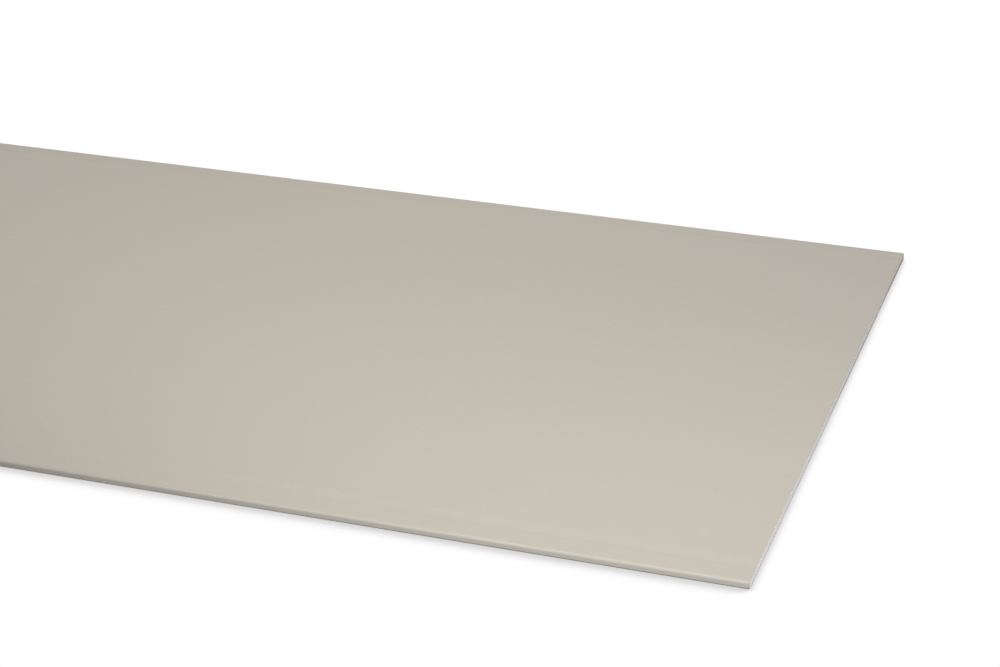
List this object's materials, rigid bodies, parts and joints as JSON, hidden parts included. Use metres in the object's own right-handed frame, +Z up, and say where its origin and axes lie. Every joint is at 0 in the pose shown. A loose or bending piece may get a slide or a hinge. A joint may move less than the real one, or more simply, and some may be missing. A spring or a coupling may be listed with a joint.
{
  "type": "drywall sheet",
  "caption": "Flat gypsum wallboard sheet with a paper face, tapered long edges wrapped in that paper, and square sawn ends that show the core.",
  "frame": {"origin": "on the floor, under the middle of the sheet", "axes": "+X along the sheet's length, +Y across its width, +Z up, out of the face"},
  "size_m": [2.4, 1.2, 0.0125],
  "materials": {
    "face_paper": "matte",
    "gypsum": "matte",
    "back_paper": "matte"
  },
  "bodies": {
    "root": {"face_paper": "face_paper", "gypsum_core": "gypsum", "back_paper": "back_paper"}
  },
  "joints": []
}
